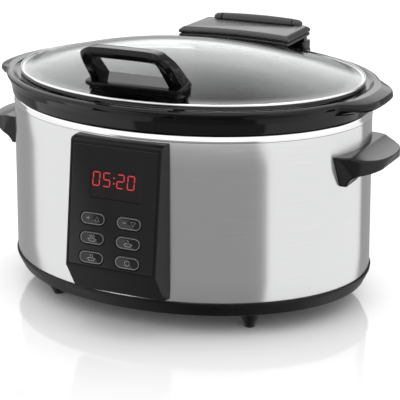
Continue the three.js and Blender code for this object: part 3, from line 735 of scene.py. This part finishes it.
def key_icon(mark, name, x, v):
    """Draws a key's symbol round its centre, (x, v) on the panel."""
    u = MM
    line = 0.00034
    if name.startswith("timer"):
        up = 1 if name.endswith("up") else -1
        mark.strip([(x - 6 * u, v + 0.2 * u), (x - 3 * u, v + 0.2 * u)], line * 1.2)
        if up > 0:
            mark.strip([(x - 4.5 * u, v - 1.3 * u), (x - 4.5 * u, v + 1.7 * u)], line * 1.2)
        mark.strip([(x + 1.6 * u, v - up * 1.7 * u), (x + 4 * u, v + up * 1.9 * u),
                    (x + 6.4 * u, v - up * 1.7 * u)], line, closed=True)
    elif name == "power":
        mark.strip(arc((x, v - 0.2 * u), 2.3 * u, -240, 60, 28), line)
        mark.strip([(x, v + 0.4 * u), (x, v + 2.9 * u)], line)
    else:
        pot = [(x - 3.1 * u, v - 0.2 * u), (x - 2.7 * u, v - 2.7 * u), (x + 2.7 * u, v - 2.7 * u),
               (x + 3.1 * u, v - 0.2 * u)]
        mark.strip(fillet(pot, 0.0008, 3), line, closed=True)
        mark.strip([(x - 4.3 * u, v - 1 * u), (x - 3 * u, v - 1 * u)], line)
        mark.strip([(x + 3 * u, v - 1 * u), (x + 4.3 * u, v - 1 * u)], line)
        waves = {"high_heat": (-1.8, 0, 1.8), "low_heat": (0,), "keep_warm": (-1, 1)}[name]
        for shift in waves:
            wave = [(x + (shift + 0.45 * math.sin(i * math.pi / 4)) * u, v + (0.7 + i * 0.3) * u)
                    for i in range(8)]
            mark.strip(wave, line * 0.9)


def build_keys():
    for name, (column, height) in KEYS.items():
        centre = (KEY_COLUMNS[column], height)
        body = f"{name}_key" if name != "power" else "power_key"
        levels = [(0, -0.003), (0, -0.0007), (0.00012, -0.0003), (0.00045, -0.00006), (0.0010, 0)]
        cap = slab(f"cap_{name}", stadium(*KEY_SIZE, centre, 14), levels, body, on_panel, 50)
        finish_piece(cap, "key_gloss", [f"key_{name}"])
        mark = Print(f"print_{name}", body, "key_gloss", PRINT, 0.0)
        mark.strip(stadium(KEY_SIZE[0] - 0.0026, KEY_SIZE[1] - 0.0026, centre, 14), 0.00028, closed=True)
        key_icon(mark, name, *centre)
        mark.build()


SEGMENTS = {"0": "abcdef", "5": "acdfg", "2": "abdeg"}
DIGITS = [("0", -0.01675), ("5", -0.0068), ("2", 0.0063), ("0", 0.0163)]


def segment(centre, length, width, upright):
    """A pointed bar of a seven-segment digit."""
    reach, half = length / 2, width / 2
    bar = [(-reach, 0), (-reach + half, -half), (reach - half, -half), (reach, 0), (reach - half, half),
           (-reach + half, half)]
    if upright:
        bar = [(-y, x) for x, y in bar]
    return [(centre[0] + x, centre[1] + y) for x, y in bar]


def build_display():
    middle, half_width, half_height, bar = 0.02395, 0.0031, 0.0058, 0.0010
    glow = Print("glowing_digits", "housing", "display_red", LOOKS["display_red"], 0.00003)
    for digit, x in DIGITS:
        places = {"a": (0, half_height, False), "g": (0, 0, False), "d": (0, -half_height, False),
                  "f": (-half_width, half_height / 2, True), "b": (half_width, half_height / 2, True),
                  "e": (-half_width, -half_height / 2, True), "c": (half_width, -half_height / 2, True)}
        for letter in SEGMENTS[digit]:
            across, up, upright = places[letter]
            length = (half_height if upright else half_width * 2) - 0.0004
            glow.fill(segment((x + across + up * 0.06, middle + up), length, bar, upright))
    for up in (-0.0024, 0.0024):
        glow.fill(rounded_rectangle(0.0014, 0.0014, 0.0005, (0.0001, middle + up), 3))
    glow.build()


# ---------------- crock

# How far a grip stands out of the crock's rim, by the distance from its middle.
GRIP_REACH = mm([(0, 12.7), (10, 12.9), (16, 13.2), (22, 13.2), (27, 12.6), (32, 11.4), (36, 9.8), (40, 7.6),
                 (43, 5.4), (46, 3.2), (48.5, 1.6), (51, 0.4), (54, 0)])


def build_crock():
    base = mm([(0, 44), (143, 44), (146.5, 47.5), (158.6, 178), (158.6, 182.6), (168.1, 182.6), (168.7, 181),
               (170, 181), (171.4, 190), (173.4, 195), (175.3, 198.2), (174.9, 200.2), (172.2, 201.2),
               (169.3, 200.6), (165.6, 198.9), (157, 198.9), (153.2, 195), (151, 186), (139.5, 54.5),
               (134, 50.5), (0, 50.5)])
    grip = list(base)                # the same profile through the middle of a grip
    for index, point in {8: (172, 188.4), 9: (184.8, 190.1), 10: (188, 193.4), 11: (187, 197.7),
                         12: (176.5, 200.9)}.items():
        grip[index] = tuple(value * MM for value in point)
    radii = [0, 0.003, 0.006, 0.003, 0.0005, 0.0005, 0.0008, 0.001, 0.003, 0.004, 0.0024, 0.0018, 0.003,
             0.002, 0.0012, 0.004, 0.006, 0.01, 0.005, 0.003, 0]
    plain, gripped = fillet(base, radii, 7, closed=False), fillet(grip, radii, 7, closed=False)
    reach_y = [y for y, _ in GRIP_REACH]
    reach_x = [x / GRIP_REACH[0][1] for _, x in GRIP_REACH]
    around = AROUND * 2
    vertices = []
    for (radius, height), (far, droop) in zip(plain, gripped):
        for step in range(around):
            angle = 2 * math.pi * step / around
            x, y = radius * math.cos(angle), oval_depth(radius) * math.sin(angle)
            share = float(np.interp(abs(y), reach_y, reach_x)) if abs(x) > 0.1 else 0.0
            push = share * (far - radius)
            vertices.append((x + math.copysign(push, x), y, height + min(1.0, share) * (droop - height)))
    crock = make_object("glazed_crock", vertices, lattice(len(plain), around), "crock", 50)
    finish_piece(crock, "black_glaze", ["crock"])


# ---------------- lid

def build_glass():
    glass = dome_layer("domed_glass", -GLASS_THICK, 0, glass_high.x)
    finish_piece(glass, "clear_glass", ["lid_glass"])
    profile = mm([(161.2, 204.7), (161.8, 204.8), (162.4, 204.2), (162.6, 203.2), (162.2, 201.4),
                  (161.4, 199.8), (160.8, 199.3), (158.6, 199.2), (158.6, 199.8), (160.6, 199.8),
                  (161.2, 200.1), (161.2, 201.6)])
    rim = turn_oval("lid_band", fillet(profile, 0.0004, 2), "lid", sharp=60)
    finish_piece(rim, "polished_steel", ["lid_rim"])


LOOP_TOP = 0.2440                # the loop's front and rear lean inward up to this height
LOOP_FRONT = (-0.1136, 0.2164, 0.8537)     # depth at a height, and how far it leans per height
LOOP_REAR = (-0.0914, 0.2180, 1.1102)
PLATE_CENTRE, PLATE_TILT = (0, -0.1018, 0.2023), 0.18


def loop_side(side, height):
    """Depth of the loop's front or rear at a height."""
    depth, level, lean = side
    return depth - (min(height, LOOP_TOP) - level) * lean


def bar_section(thick):
    """Section of the handle bar as (outward, share of half depth): chamfered outside, rounded inside."""
    half = thick / 2
    corners = [(-half, -1), (-half, 1), (half - 0.0012, 1), (half, 0.86), (half, -0.56), (half - 0.0036, -1)]
    depth = 0.010
    flat = [(a, s * depth) for a, s in corners]
    rounded = fillet(flat, [0.0016, 0.0016, 0.0010, 0.0010, 0.0012, 0.0012], 4)
    return [(a, y / depth) for a, y in rounded]


def build_lid_handle():
    left = mm([(-38.6, 209), (-38.5, 214), (-38.1, 222), (-37.7, 230.5), (-37.2, 236.2), (-35.4, 240.6),
               (-31.8, 243.2), (-26, 243.9), (-12, 244.2)])
    half_path = []
    for a, b in zip(left[:-1], left[1:]):
        half_path += [(a[0] + (b[0] - a[0]) * i / 4, a[1] + (b[1] - a[1]) * i / 4) for i in range(4)]
    path = half_path + [left[-1]]
    path = path + [(-x, z) for x, z in reversed(path)]
    points = np.array(path)
    for _ in range(3):
        points[1:-1] = points[1:-1] * 0.5 + (points[:-2] + points[2:]) * 0.25
    vertices = []
    for i in range(len(points)):
        before, after = points[max(i - 1, 0)], points[min(i + 1, len(points) - 1)]
        along = Vector(after - before).normalized()
        outward = Vector((-along.y, along.x))
        here = Vector(points[i])
        lift = min(1.0, max(0.0, (here.y - 0.232) / 0.010))
        thick = 0.0104 * (1 - lift) + 0.0092 * lift
        section = bar_section(thick)
        for offset, share in section:
            x, z = here + outward * offset
            front, rear = loop_side(LOOP_FRONT, z), loop_side(LOOP_REAR, z)
            vertices.append((x, (front + rear) / 2 + share * (rear - front) / 2, z))
    loop = make_object("lid_grip", vertices, capped(len(points), len(section)), "lid", 40)
    tilt = Matrix.Translation(PLATE_CENTRE) @ Matrix.Rotation(PLATE_TILT, 4, "X")
    outline = rounded_rectangle(0.0908, 0.0264, 0.0042, steps=6)
    levels = [(0.0028, -0.004), (0.0028, 0.0086), (0.0004, 0.0108), (0, 0.0113), (0, 0.0132),
              (0.0003, 0.0138), (0.0012, 0.0141)]
    plate = slab("cutter", outline, levels, "lid", lambda p: tilt @ p)
    combine(loop, plate, "UNION")
    cut(loop, dome_layer("cutter", -DEEP, GAP, GLASS_EDGE, around=144), 40)
    finish_piece(loop, "handle_gloss", ["lid_handle"])


# ---------------- hinge

def round_bar(radius, x0, x1, chamfer, body, name="cutter"):
    """A round bar on the hinge's axis."""
    profile = [(0, x0), (radius - chamfer, x0), (radius, x0 + chamfer), (radius, x1 - chamfer),
               (radius - chamfer, x1), (0, x1)]
    return turn_round(name, fillet(profile, chamfer * 0.5, 3, closed=False), body, AXLE, "X", False, 64)


# The barrel's radius at its middle and ends and half its length; how far out the cover's lugs go.
BARREL_RADIUS, BARREL_END, BARREL_HALF = 0.0063, 0.0053, 0.0372
LUG_OUTER = 0.046
PLUG_Y = 0.1505                  # middle of the plug and of the socket that it slides in


def build_hinge_cover():
    half, rear, notch, notch_front = cover_high.x, 0.1537, BARREL_HALF + 0.0005, 0.1442
    front = [(half * (2 * t - 1), cover_low.y + 0.0320 * t * (1 - t)) for t in [i / 24 for i in range(25)]]
    corners = front + [(0.0559, rear), (notch, rear), (notch, notch_front), (-notch, notch_front),
                       (-notch, rear), (-0.0559, rear)]
    radii = [0.007] + [0] * 23 + [0.007, 0.005, 0.0006, 0.0008, 0.0008, 0.0006, 0.005]
    levels = mm([(2.4, 201.3), (2.4, 211.6), (0.6, 212.2), (0.4, 212.6), (0.4, 214.4), (0.6, 214.8),
                 (1.8, 215.1), (1.8, 215.9), (0.2, 216.2), (0, 216.6), (0, 218.2), (0.4, 218.9),
                 (2.6, 220.7), (4, 221.3), (5.6, 221.5)])
    cover = slab("hinge_plate", corners, levels, "lid", sharp=40.0, radii=radii)
    for side in (-1, 1):
        x0, x1 = notch * side, LUG_OUTER * side
        cone = [(0, x0), (BARREL_END, x0), (BARREL_END - 0.0007, x1 - 0.0025 * side),
                (0.0032, x1), (0, x1)]
        cone = fillet(cone, 0.0006, 4, closed=False)
        lug = turn_round("cutter", cone, "lid", AXLE, "X", False, 64)
        ends = sorted((x0, x1 - 0.0008 * side))
        post = prism(mm([(153.4, 209.3), (153.4, 221), (146.6, 221), (146.6, 209.3)]), *ends, "X", "lid")
        combine(cover, post)
        combine(cover, lug)
    cut(cover, dome_layer("cutter", -DEEP, GAP, GLASS_EDGE, around=144))
    room = mm([(0, 180), (176, 180), (176, 207.3), (157.4, 205.7), (0, 206)])
    cut(cover, turn_oval("cutter", room, "lid", closed=False, around=144))
    rear_room = mm([(170, 190), (170, 207.3), (124, 207.3), (124, 190)])
    cut(cover, prism(rear_room, -0.07, 0.07, "X", "lid"))
    under_end = mm([(140, 195), (140, 211.4), (80, 211.4), (80, 195)])
    for ends in ((-0.062, -0.0455), (0.0455, 0.062)):
        cut(cover, prism(under_end, *ends, "X", "lid"))
    cut(cover, round_bar(0.0023, -0.06, 0.06, 0.0001, "lid"), 40)
    finish_piece(cover, "hinge_plastic", ["hinge_cover"])


def build_hinge_block():
    steps = [i / 12 - 1 for i in range(25)]
    crown = [(BARREL_END + (BARREL_RADIUS - BARREL_END) * (1 - t * t), BARREL_HALF * t) for t in steps]
    crown[0], crown[-1] = (BARREL_END, -BARREL_HALF + 0.0008), (BARREL_END, BARREL_HALF - 0.0008)
    ends = [(BARREL_END - 0.0008, -BARREL_HALF), (BARREL_END - 0.0008, BARREL_HALF)]
    profile = [(0, -BARREL_HALF), ends[0], *crown, ends[1], (0, BARREL_HALF)]
    barrel = turn_round("hinge_barrel", profile, "hinge_block", AXLE, "X", False, 96, 40)
    stem = mm([(157.2, 203), (157.2, 221), (145.2, 221), (145.2, 203)])
    combine(barrel, prism(stem, -BARREL_HALF, BARREL_HALF, "X", "hinge_block"))
    foot = slab("cutter", rounded_rectangle(0.108, 0.0153, 0.004, (0, 0.15055)),
                [(0, 0.1995), (0, 0.2058), (0.0003, 0.2064), (0.0009, 0.2067)], "hinge_block")
    combine(barrel, foot)
    plug = slab("cutter", rounded_rectangle(0.0392, 0.0082, 0.0008, (0, PLUG_Y)),
                [(0.001, 0.152), (0, 0.154), (0, 0.203)], "hinge_block")
    combine(barrel, plug)
    cut(barrel, round_bar(0.00228, -0.06, 0.06, 0.0001, "hinge_block"), 40)
    finish_piece(barrel, "hinge_plastic", ["hinge_block"])
    pin = round_bar(0.0022, pin_low.x, pin_high.x, 0.0004, "hinge_block", "hinge_axle")
    finish_piece(pin, "fastener_steel", ["hinge_pin"])


def build_tower():
    rear = tower_high.y
    plan = rounded_rectangle(0.111, 0.06, 0.007, (0, rear - 0.03), 7)
    levels = [(0, 0.066), (0, 0.1980), (0.0003, 0.1987), (0.0010, 0.1992)]
    tower = slab("hinge_post", plan, levels, "housing")
    side = mm([(100, 60), (146, 60), (149, 66), (158.4, 92), (158.4, 205), (100, 205)])
    combine(tower, prism(fillet(side, 0.003, 4), -0.06, 0.06, "X"), "INTERSECT")
    cut(tower, wall_cutter())
    crock_room = mm([(142.6, 169), (142.6, 210), (90, 210), (90, 169)])
    cut(tower, prism(crock_room, -0.07, 0.07, "X"))
    socket = rounded_rectangle(0.0402, 0.009, 0.0009, (0, PLUG_Y), 4)
    cut(tower, prism(socket, 0.148, 0.21, "Z"))
    finish_piece(tower, "hinge_plastic", ["hinge_tower"])


# ---------------- studio

CAMERA_TURN = math.radians(25.566)
CAMERA_RISE = math.radians(17.59)
CAMERA_DISTANCE = 1.546
CAMERA_LENS = 148.05
CAMERA_SLIDE = (0.008306, 0.047096)
CAMERA_TARGET = Vector((0, 0, 0.030))
SENSOR_WIDTH = 36
FLOOR_RADIUS = 9.0
LIGHT_PLACE, LIGHT_TARGET, LIGHT_SIZE, LIGHT_POWER = (0.2, 0.1, 2.4), (0, 0, 0.1), 2.2, 16


def build_camera():
    back = Vector((math.sin(CAMERA_TURN) * math.cos(CAMERA_RISE),
                   -math.cos(CAMERA_TURN) * math.cos(CAMERA_RISE), math.sin(CAMERA_RISE)))
    right = Vector((math.cos(CAMERA_TURN), math.sin(CAMERA_TURN), 0))
    up = back.cross(right)
    data = bpy.data.cameras.new("camera")
    data.lens = CAMERA_LENS
    data.sensor_width = SENSOR_WIDTH
    camera = add_object("camera", data)
    turn = Matrix((right, up, back)).transposed().to_4x4()
    place = CAMERA_TARGET + back * CAMERA_DISTANCE + right * CAMERA_SLIDE[0] + up * CAMERA_SLIDE[1]
    camera.matrix_world = Matrix.Translation(place) @ turn
    bpy.context.scene.camera = camera


def build_floor():
    steps = 96
    angles = [2 * math.pi * i / steps for i in range(steps)]
    vertices = [(FLOOR_RADIUS * math.cos(a), FLOOR_RADIUS * math.sin(a), 0) for a in angles]
    mesh = bpy.data.meshes.new("floor")
    mesh.from_pydata(vertices, [], [tuple(range(steps))])
    floor = add_object("floor", mesh)
    look = Look("studio_floor", (0.85, 0.85, 0.85), 0.07, IOR=1.45)
    look.vary_roughness(look.noise(look.place(), 3.0), 0.05, 0.09)
    mesh.materials.append(look.material)
    floor.visible_glossy = False       # gloss shows the studio, which carries the light bands


def build_light():
    data = bpy.data.lights.new("overhead", "AREA")
    data.shape = "SQUARE"
    data.size = LIGHT_SIZE
    data.energy = LIGHT_POWER
    light = add_object("overhead", data)
    light.location = LIGHT_PLACE
    light.rotation_euler = (Vector(LIGHT_TARGET) - Vector(LIGHT_PLACE)).to_track_quat("-Z", "Y").to_euler()


# Radiance of the studio by compass direction (degrees from +X), below eye level: the low bands.
LOW_BANDS = [(-180, 1.15), (-115.6, 1.15), (-114.8, 0.36), (-37.4, 0.36), (-36, 1.15), (61, 1.15), (64, 0.42),
             (174.5, 0.42), (177.5, 1.15)]
# From BAND_LEVEL degrees below level upward, the bands shift round by BAND_LEAN degrees per degree.
BAND_LEAN, BAND_LEVEL = 0.42, 14.5
# Radiance by height in degrees: the lit backdrop behind the cooker, and round its other sides.
BACKDROP = [(-90, 0.9), (-8, 1.0), (8, 1.6), (22, 1.9), (34, 1.9), (38, 1.55), (42, 1.15), (46, 0.72),
            (52, 0.45), (90, 0.4)]
OVERHEAD = [(-90, 0.5), (0, 0.9), (12, 1.35), (60, 1.35), (75, 0.8), (90, 0.6)]
BRIGHTEST = 2.4                  # the radiance that a full ramp colour stands for
# How much is left of the low bands by height: they fade out towards the floor.
UNDER = [(-90, 0.22), (-66, 0.32), (-48, 0.8), (-30, 1), (90, 1)]
# How much of each compass direction is backdrop.
BACKDROP_SPAN = [(-180, 0), (92, 0), (110, 1), (118, 1), (138, 0)]
# The low bands end at BAND_FOOT degrees, plus this share of BAND_REACH, over BAND_FADE degrees.
BAND_ENDS = [(-180, 0), (60, 0), (66, 1), (92, 1), (99, 0)]
BAND_REACH, BAND_FOOT, BAND_FADE = 32.0, 3.5, 10.0


def world_ramp(tree, value, stops, limit, unit=BRIGHTEST):
    """A brightness, as a share of unit, that follows (position, value) stops from -limit to limit."""
    ramp = tree.nodes.new("ShaderNodeValToRGB")
    elements = ramp.color_ramp.elements
    while len(elements) < len(stops):
        elements.new(0.5)
    for element, (place, radiance) in zip(elements, stops):
        level = radiance / unit
        element.position, element.color = (place + limit) / (2 * limit), (level, level, level, 1)
    tree.links.new(map_range(tree, value, -limit, limit), ramp.inputs["Fac"])
    return ramp.outputs["Color"]


def build_world():
    """A studio with a bright backdrop, light and grey bands below eye level, and a soft ceiling."""
    world = bpy.data.worlds.new("studio")
    bpy.context.scene.world = world
    world.use_nodes = True
    tree = world.node_tree
    link = tree.links.new

    def blend(factor, first, second):
        node = tree.nodes.new("ShaderNodeMixRGB")
        for socket, value in zip(("Fac", "Color1", "Color2"), (factor, first, second)):
            link(value, node.inputs[socket])
        return node.outputs["Color"]

    where = tree.nodes.new("ShaderNodeTexCoord")
    parts = tree.nodes.new("ShaderNodeSeparateXYZ")
    link(where.outputs["Generated"], parts.inputs["Vector"])
    turn = math_node(tree, "ARCTAN2", parts.outputs["Y"], parts.outputs["X"])
    compass = math_node(tree, "MULTIPLY", turn, DEGREE)
    height = math_node(tree, "MULTIPLY", math_node(tree, "ARCSINE", parts.outputs["Z"]), DEGREE)

    above_level = math_node(tree, "MAXIMUM", math_node(tree, "ADD", height, BAND_LEVEL), 0.0)
    lean = math_node(tree, "MULTIPLY", above_level, BAND_LEAN)
    bands = world_ramp(tree, math_node(tree, "ADD", compass, lean), LOW_BANDS, 180)
    fade = tree.nodes.new("ShaderNodeVectorMath")
    fade.operation = "MULTIPLY"
    link(bands, fade.inputs[0])
    link(world_ramp(tree, height, UNDER, 90, 1), fade.inputs[1])

    back = world_ramp(tree, height, BACKDROP, 90)
    above = world_ramp(tree, height, OVERHEAD, 90)
    high = blend(world_ramp(tree, compass, BACKDROP_SPAN, 180, 1), above, back)

    band_end = math_node(tree, "MULTIPLY", world_ramp(tree, compass, BAND_ENDS, 180, 1), BAND_REACH)
    above_end = math_node(tree, "SUBTRACT", height, band_end)
    rise = map_range(tree, above_end, BAND_FOOT, BAND_FOOT + BAND_FADE, kind="SMOOTHSTEP")
    color = blend(rise, fade.outputs["Vector"], high)
    background = tree.nodes["Background"]
    link(color, background.inputs["Color"])
    background.inputs["Strength"].default_value = BRIGHTEST


for build in (build_camera, build_world, build_floor, build_light, build_wall, build_shoulder, build_tray,
              build_feet, build_well, build_side_handles, build_bezel, build_panel_face, build_keys,
              build_display, build_crock, build_glass, build_lid_handle, build_hinge_cover,
              build_hinge_block, build_tower):
    build()
bpy.context.scene.view_settings.view_transform = "Standard"
